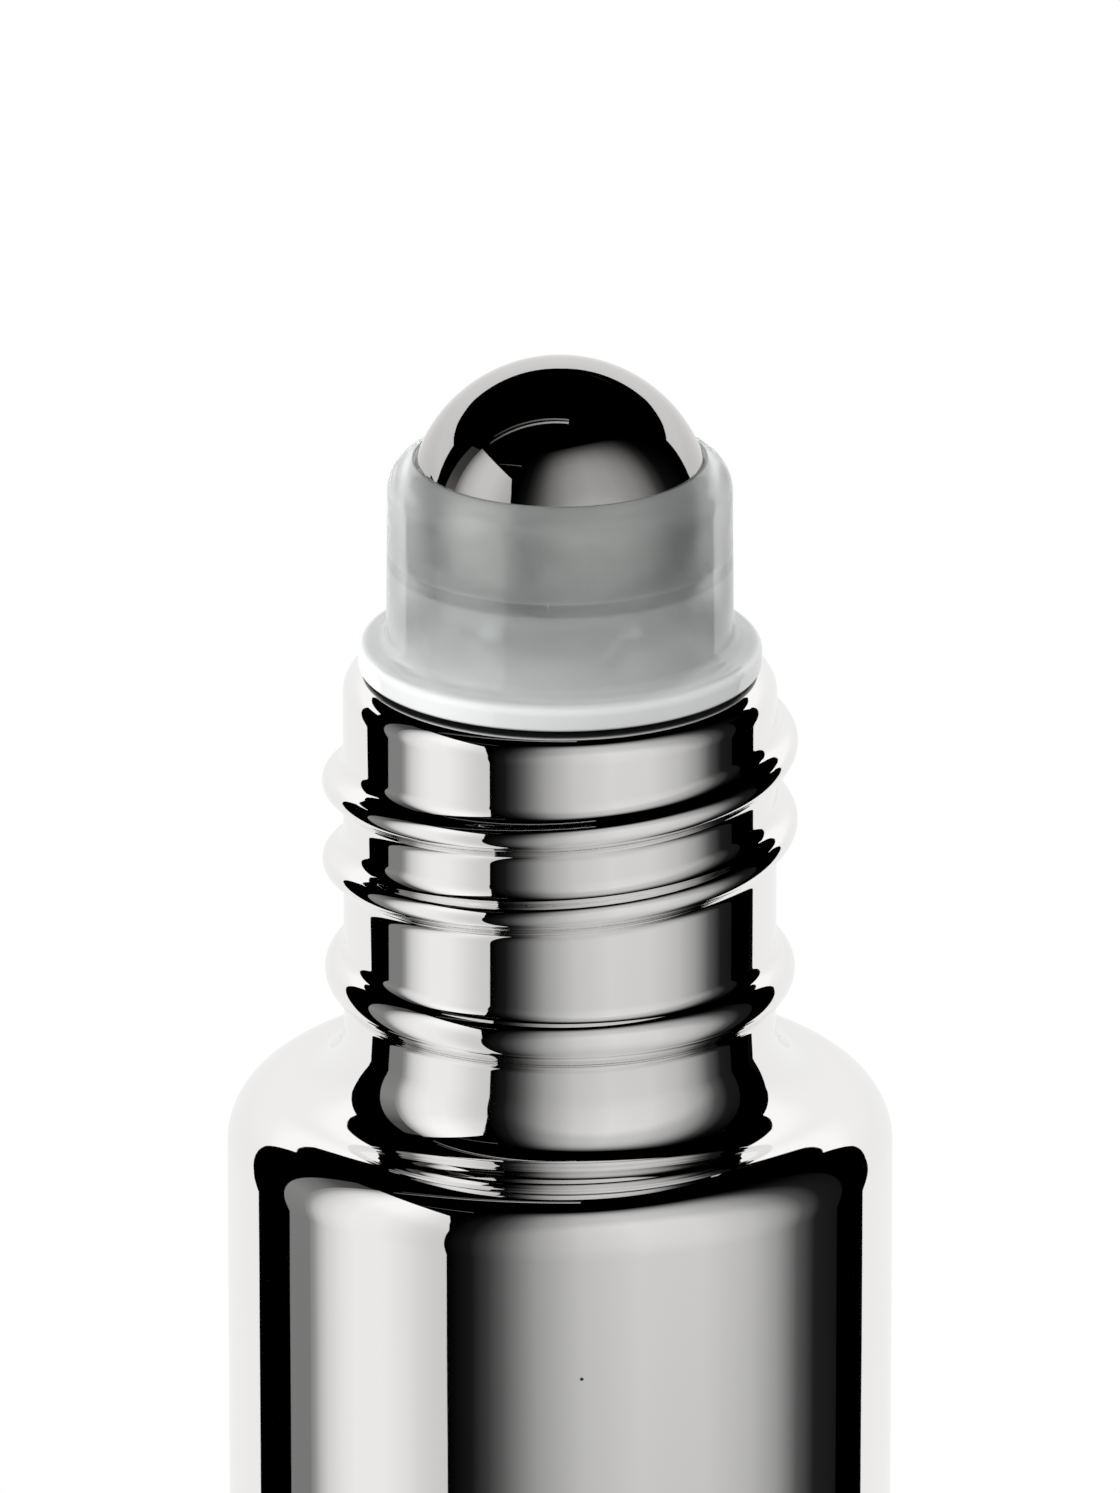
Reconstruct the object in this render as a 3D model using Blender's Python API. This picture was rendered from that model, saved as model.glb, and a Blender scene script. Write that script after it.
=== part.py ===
"""Roll-on perfume oil bottle: glass with a screw neck, moulded roller fitment, steel ball, oil.

Metres, +Z up. The origin is the centre of the circle that the standing ring rests on.
Turned pieces are profiles of (radius, height) points, spun about the bottle's axis.
"""

import math

import bmesh
import bpy
from mathutils import Matrix, Vector

# Glass bottle, outside
GLASS_HEIGHT = 0.0672
BODY_DIAMETER = 0.0220
HEEL_RADIUS = 0.0016
STANDING_RING_WIDTH = 0.0020
PUSH_UP_DEPTH = 0.0012
SHOULDER_CORNER_RADIUS = 0.0020
NECK_BELOW_BEAD = 0.00413
NECK_DIAMETER = 0.01425
NECK_FILLET_RADIUS = 0.0023
MOUTH_OUTER_RADIUS = 0.0005

# The most of the glass beside it that a corner or a fillet may take
CORNER_SHARE = 0.5
FILLET_SHARE = 0.4
MOUTH_INNER_SHARE = 0.3

# Transfer bead under the thread, by which the glass hangs while it is moulded
BEAD_BELOW_MOUTH = 0.01048
BEAD_HEIGHT = 0.00062
BEAD_HALF_WIDTH = 0.00104

# Screw thread, right-handed, in one start
THREAD_HEIGHT = 0.00069
THREAD_HALF_WIDTH = 0.00085
THREAD_PITCH = 0.00274
THREAD_TOP_BELOW_MOUTH = 0.00192
THREAD_TURNS = 1.94
THREAD_START_DEGREES = 83.0
THREAD_RUN_OUT_DEGREES = 38.0
THREAD_ROOT_DEPTH = 0.0003
THREAD_END_DEPTH = 0.0001

# Glass bottle, inside
BODY_WALL = 0.0020
FLOOR_THICKNESS = 0.0035
SHOULDER_WALL = 0.0022
NECK_BORE_DIAMETER = 0.0097
MOUTH_INNER_RADIUS = 0.0004
INNER_HEEL_RADIUS = 0.0024
INNER_CORNER_RADIUS = 0.0022
INNER_FILLET_RADIUS = 0.0010

# Perfume oil
HEADSPACE = 0.0064
OIL_GAP = 0.0001

# Roller ball
BALL_DIAMETER = 0.0100
BALL_ABOVE_MOUTH = 0.00552

# Roller housing: the cup round the ball
BALL_CLEARANCE = 0.00012
LIP_CLEARANCE = 0.00007
CUP_WALL = 0.00058
LIP_ABOVE_BALL_CENTRE = 0.00173
LIP_OUTER_RADIUS = 0.0012
LIP_LAND = 0.00008
LEDGE_BELOW_BALL_CENTRE = 0.00155
FEED_BORE_DIAMETER = 0.0060
FEED_BORE_LENGTH = 0.0019

# Roller housing: feed grooves in the ball's seat
GROOVES = 6
GROOVE_WIDTH = 0.0007
GROOVE_DEPTH = 0.00035
GROOVE_LENGTH = 0.0026
GROOVE_PAST_BORE = 0.0006

# Roller housing: flange and plug
FLANGE_GAP = 0.0001
FLANGE_WIDTH = 0.00093
FLANGE_THICKNESS = 0.00085
FLANGE_EDGE_RADIUS = 0.00034
FLANGE_FILLET_RADIUS = 0.0004
PLUG_LENGTH = 0.0065
PLUG_CLEARANCE = 0.00035
PLUG_WALL = 0.00105
PLUG_STEP = 0.0004
PLUG_LEAD_IN = 0.0005
SEALING_RINGS = 3
SEALING_RING_GAP = 0.00005
SEALING_RING_HALF_WIDTH = 0.0004

# Facets
SEGMENTS = 60
CORNER_STEPS = 4
INSIDE_STEPS = 3
EDGE_STEPS = 2
BEAD_STEPS = 6
SEAT_STEPS = 4
BALL_SEGMENTS = 40
BALL_RINGS = 20
THREAD_STEPS_PER_TURN = 52
THREAD_SECTION_STEPS = 6
MERGE_DISTANCE = 0.000001
SMOOTH_ANGLE = math.radians(30)

# Radii and heights that pieces share
BODY_RADIUS = BODY_DIAMETER / 2
NECK_RADIUS = NECK_DIAMETER / 2
BORE_RADIUS = NECK_BORE_DIAMETER / 2
INNER_RADIUS = BODY_RADIUS - BODY_WALL
BALL_RADIUS = BALL_DIAMETER / 2
PLUG_RADIUS = BORE_RADIUS - PLUG_CLEARANCE
BEAD_Z = GLASS_HEIGHT - BEAD_BELOW_MOUTH
SHOULDER_Z = BEAD_Z - NECK_BELOW_BEAD
CEILING_Z = SHOULDER_Z - SHOULDER_WALL
BALL_Z = GLASS_HEIGHT + BALL_ABOVE_MOUTH


def clear_scene():
    for obj in list(bpy.data.objects):
        bpy.data.objects.remove(obj, do_unlink=True)


def arc(centre, radius, start, end, steps):
    """Profile points on an arc from angle start to angle end, in degrees, with both ends."""
    points = []
    for step in range(steps + 1):
        angle = math.radians(start + (end - start) * step / steps)
        points.append((centre[0] + radius * math.cos(angle), centre[1] + radius * math.sin(angle)))
    return points


def rounded_rib(root_radius, middle_z, height, half_width, steps):
    """The section of a rib that stands on a round wall, bottom to top: one arc through its crest."""
    radius = (height**2 + half_width**2) / (2 * height)
    spread = math.degrees(math.atan2(half_width, radius - height))
    return arc((root_radius + height - radius, middle_z), radius, -spread, spread, steps)


def new_object(name, bm, material, location=(0, 0, 0)):
    mesh = bpy.data.meshes.new(name)
    bm.to_mesh(mesh)
    bm.free()
    mesh.shade_smooth()
    mesh.set_sharp_from_angle(angle=SMOOTH_ANGLE)
    mesh.materials.append(material)
    obj = bpy.data.objects.new(name, mesh)
    obj.location = location
    bpy.context.scene.collection.objects.link(obj)
    return obj


def principled(name, colour, metallic, roughness):
    material = bpy.data.materials.new(name)
    material.use_nodes = True
    shader = material.node_tree.nodes["Principled BSDF"]
    shader.inputs["Base Color"].default_value = (*colour, 1.0)
    shader.inputs["Metallic"].default_value = metallic
    shader.inputs["Roughness"].default_value = roughness
    return material


def turned(name, profile, material, closed):
    """Spins a profile about Z. A closed profile is a ring; an open one starts and ends on the axis."""
    bm = bmesh.new()
    corners = [bm.verts.new((radius, 0, z)) for radius, z in profile]
    edges = [bm.edges.new(pair) for pair in zip(corners, corners[1:])]
    if closed:
        edges.append(bm.edges.new((corners[-1], corners[0])))
    bmesh.ops.spin(
        bm,
        geom=corners + edges,
        cent=(0, 0, 0),
        axis=(0, 0, 1),
        angle=2 * math.pi,
        steps=SEGMENTS,
        use_merge=True,
    )
    bmesh.ops.remove_doubles(bm, verts=bm.verts, dist=MERGE_DISTANCE)
    bmesh.ops.recalc_face_normals(bm, faces=bm.faces)
    return new_object(name, bm, material)


def join_or_cut(obj, tool, operation):
    """Adds the tool to the piece, or takes it away. The tool itself is no piece of the bottle."""
    tool.hide_render = True
    tool.display_type = "WIRE"
    modifier = obj.modifiers.new(tool.name, "BOOLEAN")
    modifier.operation = operation
    modifier.object = tool
    modifier.solver = "EXACT"


def base_profile():
    """Underside of the glass from the axis out: the push-up, then the flat ring that it stands on."""
    ring_radius = BODY_RADIUS - HEEL_RADIUS - STANDING_RING_WIDTH
    dome_radius = (ring_radius**2 + PUSH_UP_DEPTH**2) / (2 * PUSH_UP_DEPTH)
    edge = math.degrees(math.acos(ring_radius / dome_radius))
    dome = arc((0, PUSH_UP_DEPTH - dome_radius), dome_radius, 90, edge, INSIDE_STEPS)
    heel = arc((BODY_RADIUS - HEEL_RADIUS, HEEL_RADIUS), HEEL_RADIUS, -90, 0, CORNER_STEPS)
    return [(0, PUSH_UP_DEPTH)] + dome[1:-1] + [(ring_radius, 0)] + heel


def outer_profile():
    """Outside of the glass up to the mouth: the shoulder's corner turns over into the neck's fillet."""
    corner, fillet = SHOULDER_CORNER_RADIUS, NECK_FILLET_RADIUS
    turn = math.acos(max(0, 1 - (BODY_RADIUS - NECK_RADIUS) / (corner + fillet)))
    corner_centre = (BODY_RADIUS - corner, SHOULDER_Z - corner * math.sin(turn))
    fillet_centre = (NECK_RADIUS + fillet, SHOULDER_Z + fillet * math.sin(turn))
    turn = math.degrees(turn)
    mouth = min(MOUTH_OUTER_RADIUS, CORNER_SHARE * (NECK_RADIUS - BORE_RADIUS))
    return (
        arc(corner_centre, corner, 0, turn, CORNER_STEPS)
        + arc(fillet_centre, fillet, 180 + turn, 180, CORNER_STEPS)
        + rounded_rib(NECK_RADIUS, BEAD_Z, BEAD_HEIGHT, BEAD_HALF_WIDTH, BEAD_STEPS)
        + arc((NECK_RADIUS - mouth, GLASS_HEIGHT - mouth), mouth, 0, 90, CORNER_STEPS)
    )


def bore_profile():
    """Inside of the glass from the mouth down to the start of the body's inner wall."""
    ceiling = INNER_RADIUS - BORE_RADIUS
    corner = min(INNER_CORNER_RADIUS, CORNER_SHARE * ceiling)
    fillet = min(INNER_FILLET_RADIUS, FILLET_SHARE * ceiling)
    mouth = min(MOUTH_INNER_RADIUS, MOUTH_INNER_SHARE * (NECK_RADIUS - BORE_RADIUS))
    return (
        arc((BORE_RADIUS + mouth, GLASS_HEIGHT - mouth), mouth, 90, 180, EDGE_STEPS)
        + arc((BORE_RADIUS + fillet, CEILING_Z + fillet), fillet, 180, 270, INSIDE_STEPS)
        + arc((INNER_RADIUS - corner, CEILING_Z - corner), corner, 90, 0, INSIDE_STEPS)
    )


def floor_profile(gap):
    """Round inner heel and floor, down to the axis. With a gap it is what stands in the glass."""
    heel = INNER_HEEL_RADIUS - gap
    centre = (INNER_RADIUS - INNER_HEEL_RADIUS, FLOOR_THICKNESS + INNER_HEEL_RADIUS)
    return arc(centre, heel, 0, -90, INSIDE_STEPS) + [(0, FLOOR_THICKNESS + gap)]


def thread_ridge(material):
    """The screw thread as one helical rib. Its ends run out by sinking into the neck's wall."""
    section = rounded_rib(0, 0, THREAD_HEIGHT, THREAD_HALF_WIDTH, THREAD_SECTION_STEPS)
    section += [(-THREAD_ROOT_DEPTH, THREAD_HALF_WIDTH), (-THREAD_ROOT_DEPTH, -THREAD_HALF_WIDTH)]
    steps = round(THREAD_TURNS * THREAD_STEPS_PER_TURN)
    sweep = 360 * THREAD_TURNS
    bm = bmesh.new()
    stations = []
    for step in range(steps + 1):
        turned_by = sweep * step / steps
        from_end = min(turned_by, sweep - turned_by, THREAD_RUN_OUT_DEGREES)
        risen_share = math.sin(from_end / THREAD_RUN_OUT_DEGREES * math.pi / 2)
        sunk = (1 - risen_share) * (THREAD_HEIGHT + THREAD_END_DEPTH)
        angle = math.radians(THREAD_START_DEGREES - turned_by)
        middle_z = GLASS_HEIGHT - THREAD_TOP_BELOW_MOUTH - THREAD_PITCH * turned_by / 360
        station = []
        for out, up in section:
            radius = NECK_RADIUS - sunk + out
            place = (radius * math.cos(angle), radius * math.sin(angle), middle_z + up)
            station.append(bm.verts.new(place))
        stations.append(station)
    corners = len(section)
    for here, there in zip(stations, stations[1:]):
        for corner in range(corners):
            after = (corner + 1) % corners
            bm.faces.new((here[corner], here[after], there[after], there[corner]))
    bm.faces.new(stations[0])
    bm.faces.new(stations[-1])
    bmesh.ops.recalc_face_normals(bm, faces=bm.faces)
    return new_object("screw_thread", bm, material)


def glass_bottle(material):
    """Moulded glass with a mirror coat: heavy floor, round heel and shoulder, threaded neck."""
    profile = base_profile() + outer_profile() + bore_profile() + floor_profile(0)
    bottle = turned("glass_bottle", profile, material, closed=False)
    join_or_cut(bottle, thread_ridge(material), "UNION")
    return bottle


def perfume_oil(material):
    """The fill, which stands in the glass and leaves a headspace under the shoulder."""
    surface = CEILING_Z - HEADSPACE
    profile = [(0, surface), (INNER_RADIUS - OIL_GAP, surface)] + floor_profile(OIL_GAP)
    return turned("perfume_oil", profile, material, closed=False)


def plug_profile():
    """Outside of the plug from its foot up, with the sealing rings that bite on the neck's bore."""
    ring_height = PLUG_CLEARANCE - SEALING_RING_GAP
    foot = GLASS_HEIGHT - PLUG_LENGTH
    ring_pitch = (PLUG_LENGTH - PLUG_LEAD_IN) / (SEALING_RINGS + 1)
    points = [(PLUG_RADIUS - PLUG_LEAD_IN, foot), (PLUG_RADIUS, foot + PLUG_LEAD_IN)]
    for ring in range(SEALING_RINGS, 0, -1):
        middle_z = GLASS_HEIGHT - ring * ring_pitch
        points += rounded_rib(PLUG_RADIUS, middle_z, ring_height, SEALING_RING_HALF_WIDTH, EDGE_STEPS)
    return points


def flange_profile(cup_radius):
    """Flange that rests on the glass, from its underside round its edge to the foot of the cup."""
    underside = GLASS_HEIGHT + FLANGE_GAP
    top = underside + FLANGE_THICKNESS
    rim = cup_radius + FLANGE_WIDTH - FLANGE_EDGE_RADIUS
    edge = FLANGE_EDGE_RADIUS
    fillet = FLANGE_FILLET_RADIUS
    return (
        [(PLUG_RADIUS, underside)]
        + arc((rim, underside + edge), edge, -90, 0, EDGE_STEPS)
        + arc((rim, top - edge), edge, 0, 90, EDGE_STEPS)
        + arc((cup_radius + fillet, top + fillet), fillet, 270, 180, EDGE_STEPS)
    )


def cup_profile(cup_radius, hollow_radius, seat_end):
    """Round lip, then down inside: under the lip, the straight wall, the ledge and the ball's seat."""
    lip_z = BALL_Z + LIP_ABOVE_BALL_CENTRE
    lip_reach = BALL_RADIUS + LIP_CLEARANCE
    opening = math.sqrt(lip_reach**2 - LIP_ABOVE_BALL_CENTRE**2)
    lip_end = math.acos(max(0, 1 - (cup_radius - opening - LIP_LAND) / LIP_OUTER_RADIUS))
    lip_centre = (cup_radius - LIP_OUTER_RADIUS, lip_z - LIP_OUTER_RADIUS * math.sin(lip_end))
    under_lip = math.degrees(math.acos((opening + LIP_LAND) / hollow_radius))
    ledge = math.degrees(math.asin(LEDGE_BELOW_BALL_CENTRE / hollow_radius))
    return (
        arc(lip_centre, LIP_OUTER_RADIUS, 0, math.degrees(lip_end), CORNER_STEPS)
        + [(opening, lip_z)]
        + arc((0, BALL_Z), hollow_radius, under_lip, 0, EDGE_STEPS)
        + [(hollow_radius, BALL_Z - LEDGE_BELOW_BALL_CENTRE)]
        + arc((0, BALL_Z), hollow_radius, -ledge, -seat_end, SEAT_STEPS)
    )


def groove_bars(hollow_radius, seat_end, material):
    """The feed grooves' hollows: bars along the seat's slope, which break out into the feed bore."""
    up_the_seat = math.degrees((GROOVE_LENGTH / 2 - GROOVE_PAST_BORE) / hollow_radius)
    angle = math.radians(seat_end - up_the_seat)
    middle = Vector((hollow_radius * math.cos(angle), 0, BALL_Z - hollow_radius * math.sin(angle)))
    bar = (
        Matrix.Translation(middle)
        @ Matrix.Rotation(angle - math.pi / 2, 4, "Y")
        @ Matrix.Diagonal((GROOVE_LENGTH, GROOVE_WIDTH, 2 * GROOVE_DEPTH, 1))
    )
    bm = bmesh.new()
    for groove in range(GROOVES):
        round_axis = Matrix.Rotation(2 * math.pi * groove / GROOVES, 4, "Z")
        bmesh.ops.create_cube(bm, size=1, matrix=round_axis @ bar)
    return new_object("feed_grooves", bm, material)


def roller_housing(material):
    """Moulded fitment: cup with lip and seat, flange, and a hollow plug pressed into the neck."""
    hollow_radius = BALL_RADIUS + BALL_CLEARANCE
    cup_radius = hollow_radius + CUP_WALL
    feed_radius = FEED_BORE_DIAMETER / 2
    seat_end = math.degrees(math.acos(feed_radius / hollow_radius))
    feed_foot = BALL_Z - math.sqrt(hollow_radius**2 - feed_radius**2) - FEED_BORE_LENGTH
    plug_bore = PLUG_RADIUS - PLUG_WALL
    bores = [
        (feed_radius, feed_foot),
        (plug_bore, feed_foot - PLUG_STEP),
        (plug_bore, GLASS_HEIGHT - PLUG_LENGTH),
    ]
    profile = (
        plug_profile()
        + flange_profile(cup_radius)
        + cup_profile(cup_radius, hollow_radius, seat_end)
        + bores
    )
    housing = turned("roller_housing", profile, material, closed=True)
    join_or_cut(housing, groove_bars(hollow_radius, seat_end, material), "DIFFERENCE")
    return housing


def roller_ball(material):
    """Polished steel ball. Its origin is its centre, which its joint's axis passes through."""
    bm = bmesh.new()
    bmesh.ops.create_uvsphere(bm, u_segments=BALL_SEGMENTS, v_segments=BALL_RINGS, radius=BALL_RADIUS)
    return new_object("roller_ball", bm, material, location=(0, 0, BALL_Z))


def main():
    clear_scene()
    assembly = bpy.data.objects.new("perfume_oil_bottle", None)
    bpy.context.scene.collection.objects.link(assembly)
    mirror_coated_glass = principled("mirror_coated_glass", (0.84, 0.83, 0.82), 1.0, 0.04)
    natural_polypropylene = principled("natural_polypropylene", (0.80, 0.82, 0.82), 0.0, 0.3)
    polished_steel = principled("polished_steel", (0.68, 0.67, 0.65), 1.0, 0.06)
    amber_oil = principled("amber_oil", (0.75, 0.45, 0.12), 0.0, 0.1)
    pieces = [
        glass_bottle(mirror_coated_glass),
        roller_housing(natural_polypropylene),
        roller_ball(polished_steel),
        perfume_oil(amber_oil),
    ]
    for piece in pieces:
        piece.parent = assembly


main()
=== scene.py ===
"""Roll-on perfume oil bottle with its cap off.

Mirror-coated glass, perfume oil, roller fitment and steel ball. Metres, +Z up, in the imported
model's frame. Outlines are lists of (radius, height) points, spun about the bottle's axis.
Scales of noise are in features per metre.
"""

import math

import bmesh
import bpy
from mathutils import Matrix, Vector


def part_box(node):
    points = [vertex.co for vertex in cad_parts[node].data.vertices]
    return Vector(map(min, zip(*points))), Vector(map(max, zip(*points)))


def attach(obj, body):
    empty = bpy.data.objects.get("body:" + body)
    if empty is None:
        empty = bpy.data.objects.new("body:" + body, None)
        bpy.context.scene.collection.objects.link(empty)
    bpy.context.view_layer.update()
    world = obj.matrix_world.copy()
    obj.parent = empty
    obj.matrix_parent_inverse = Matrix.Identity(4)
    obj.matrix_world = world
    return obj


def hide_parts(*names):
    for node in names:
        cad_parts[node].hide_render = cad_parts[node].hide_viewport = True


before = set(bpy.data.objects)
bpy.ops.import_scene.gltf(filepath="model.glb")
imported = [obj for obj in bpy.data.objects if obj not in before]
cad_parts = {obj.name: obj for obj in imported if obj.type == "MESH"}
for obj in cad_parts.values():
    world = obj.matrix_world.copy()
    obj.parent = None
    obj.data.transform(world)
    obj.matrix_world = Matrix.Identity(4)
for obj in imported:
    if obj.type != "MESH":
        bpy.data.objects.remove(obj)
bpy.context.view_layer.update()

# Glass bottle: soda-lime glass blown in a two-part mould, with the neck ring's screw thread and
# bead. After annealing it is coated all over with a few micrometres of aluminium under clear
# lacquer, so it reads as a mirror and not as glass.
GLASS_LOW, GLASS_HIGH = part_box("glass_bottle")
MOUTH_Z = GLASS_HIGH.z
BODY_RADIUS = GLASS_HIGH.x
BODY_WALL = 0.0020
FLOOR_Z = 0.0035
HEEL_RADIUS = 0.0016
STANDING_RING_WIDTH = 0.0020
PUSH_UP_DEPTH = 0.0012
INNER_HEEL_RADIUS = 0.0024

SHOULDER_Z = MOUTH_Z - 0.01461
SHOULDER_CORNER_RADIUS = 0.0020
SHOULDER_WALL = 0.0022
INNER_CORNER_RADIUS = 0.0020
INNER_FILLET_RADIUS = 0.0010

NECK_RADIUS = 0.007125
NECK_FILLET_RADIUS = 0.0021
BORE_RADIUS = 0.00485
MOUTH_OUTER_RADIUS = 0.00085
MOUTH_INNER_RADIUS = 0.0004

BEAD_Z = MOUTH_Z - 0.01048
BEAD_HEIGHT = 0.00062
BEAD_CREST_RADIUS = 0.00082
BEAD_ROOT_FILLET = 0.0005

THREAD_TOP_Z = MOUTH_Z - 0.00192
THREAD_PITCH = 0.00274
THREAD_TURNS = 1.94
THREAD_START_DEGREES = 83.0
THREAD_RUN_OUT_DEGREES = 38.0
THREAD_HEIGHT = 0.00069
THREAD_CREST_RADIUS = 0.00045
THREAD_ROOT_FILLET = 0.00062
THREAD_ROW = 0.00005

SPIN_STEPS = 256
ARC_DEGREES = 5.0
MERGE_DISTANCE = 0.000001
SHARP_ANGLE = math.radians(32)


def arc(centre, radius, start, end):
    """Outline points on an arc from angle start to angle end, in degrees, with both ends."""
    steps = max(2, math.ceil(abs(end - start) / ARC_DEGREES))
    points = []
    for step in range(steps + 1):
        angle = math.radians(start + (end - start) * step / steps)
        points.append((centre[0] + radius * math.cos(angle), centre[1] + radius * math.sin(angle)))
    return points


def filleted_rib(wall_radius, middle_z, height, crest, fillet):
    """A round-crested rib on a turned wall, bottom to top, run into the wall with a fillet."""
    sunk = crest - height
    reach = math.sqrt((crest + fillet) ** 2 - (fillet + sunk) ** 2)
    spread = math.degrees(math.atan2(reach, fillet + sunk))
    return (
        arc((wall_radius + fillet, middle_z - reach), fillet, 180, 180 - spread)[:-1]
        + arc((wall_radius - sunk, middle_z), crest, -spread, spread)
        + arc((wall_radius + fillet, middle_z + reach), fillet, 180 + spread, 180)[1:]
    )


def spun(name, outline, ring=False):
    """A mesh object turned from an outline, which ends on the axis unless it is a ring."""
    bm = bmesh.new()
    corners = [bm.verts.new((radius, 0, z)) for radius, z in outline]
    edges = [bm.edges.new(pair) for pair in zip(corners, corners[1:])]
    if ring:
        edges.append(bm.edges.new((corners[-1], corners[0])))
    bmesh.ops.spin(
        bm,
        geom=corners + edges,
        cent=(0, 0, 0),
        axis=(0, 0, 1),
        angle=2 * math.pi,
        steps=SPIN_STEPS,
        use_merge=True,
    )
    bmesh.ops.remove_doubles(bm, verts=bm.verts, dist=MERGE_DISTANCE)
    bmesh.ops.recalc_face_normals(bm, faces=bm.faces)
    mesh = bpy.data.meshes.new(name)
    bm.to_mesh(mesh)
    bm.free()
    mesh.shade_smooth()
    mesh.set_sharp_from_angle(angle=SHARP_ANGLE)
    obj = bpy.data.objects.new(name, mesh)
    bpy.context.scene.collection.objects.link(obj)
    return obj


def linear(hex_colour):
    """An sRGB hex colour as linear RGBA."""
    channels = []
    for place in (1, 3, 5):
        shade = int(hex_colour[place : place + 2], 16) / 255
        channels.append(shade / 12.92 if shade <= 0.04045 else ((shade + 0.055) / 1.055) ** 2.4)
    return (*channels, 1.0)


def add_node(tree, kind, inputs=None, **settings):
    """Adds a node with its settings. An input takes a value, a socket or a node's first output."""
    node = tree.nodes.new(kind)
    for name, value in settings.items():
        setattr(node, name, value)
    for socket, value in (inputs or {}).items():
        if isinstance(value, bpy.types.Node):
            value = value.outputs[0]
        if isinstance(value, bpy.types.NodeSocket):
            tree.links.new(value, node.inputs[socket])
        else:
            node.inputs[socket].default_value = value
    return node


def surface(name, shader_inputs):
    """A material of one Principled shader. Returns it with its tree and shader."""
    material = bpy.data.materials.new(name)
    material.use_nodes = True
    tree = material.node_tree
    tree.nodes.clear()
    shader = add_node(tree, "ShaderNodeBsdfPrincipled", shader_inputs)
    add_node(tree, "ShaderNodeOutputMaterial", {"Surface": shader})
    return material, tree, shader


def with_nodes(obj, tree, inputs):
    """Runs a Geometry Nodes tree on an object and keeps the result as its plain mesh."""
    modifier = obj.modifiers.new(tree.name, "NODES")
    modifier.node_group = tree
    for item in tree.interface.items_tree:
        if item.item_type == "SOCKET" and item.in_out == "INPUT" and item.name in inputs:
            modifier[item.identifier] = inputs[item.name]
    evaluated = obj.evaluated_get(bpy.context.evaluated_depsgraph_get())
    mesh = bpy.data.meshes.new_from_object(evaluated)
    obj.modifiers.remove(modifier)
    obj.data = mesh


def glass_outline():
    """The glass in one line: under the base, up the outside, over the mouth and down the inside."""
    ring_radius = BODY_RADIUS - HEEL_RADIUS - STANDING_RING_WIDTH
    dome_radius = (ring_radius**2 + PUSH_UP_DEPTH**2) / (2 * PUSH_UP_DEPTH)
    dome_edge = math.degrees(math.acos(ring_radius / dome_radius))
    corner, fillet, mouth = SHOULDER_CORNER_RADIUS, NECK_FILLET_RADIUS, MOUTH_OUTER_RADIUS
    turn = math.acos(1 - (BODY_RADIUS - NECK_RADIUS) / (corner + fillet))
    corner_centre = (BODY_RADIUS - corner, SHOULDER_Z - corner * math.sin(turn))
    fillet_centre = (NECK_RADIUS + fillet, SHOULDER_Z + fillet * math.sin(turn))
    turn = math.degrees(turn)
    inner_radius = BODY_RADIUS - BODY_WALL
    ceiling_z = SHOULDER_Z - SHOULDER_WALL
    bead = filleted_rib(NECK_RADIUS, BEAD_Z, BEAD_HEIGHT, BEAD_CREST_RADIUS, BEAD_ROOT_FILLET)
    bead_top = bead[-1][1]
    wall_top = MOUTH_Z - mouth
    rows = math.ceil((wall_top - bead_top) / THREAD_ROW)
    row_height = (wall_top - bead_top) / rows
    thread_wall = [(NECK_RADIUS, bead_top + row_height * row) for row in range(1, rows)]
    dome = arc((0, PUSH_UP_DEPTH - dome_radius), dome_radius, 90, dome_edge)
    base = [(0, PUSH_UP_DEPTH)] + dome[1:]
    outside = (
        arc((BODY_RADIUS - HEEL_RADIUS, HEEL_RADIUS), HEEL_RADIUS, -90, 0)
        + arc(corner_centre, corner, 0, turn)
        + arc(fillet_centre, fillet, 180 + turn, 180)[1:]
        + bead
        + thread_wall
        + arc((NECK_RADIUS - mouth, wall_top), mouth, 0, 90)
    )
    corner, fillet, mouth = INNER_CORNER_RADIUS, INNER_FILLET_RADIUS, MOUTH_INNER_RADIUS
    heel = INNER_HEEL_RADIUS
    inside = (
        arc((BORE_RADIUS + mouth, MOUTH_Z - mouth), mouth, 90, 180)
        + arc((BORE_RADIUS + fillet, ceiling_z + fillet), fillet, 180, 270)
        + arc((inner_radius - corner, ceiling_z - corner), corner, 90, 0)
        + arc((inner_radius - heel, FLOOR_Z + heel), heel, 0, -90)
        + [(0, FLOOR_Z)]
    )
    return base + outside + inside


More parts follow.
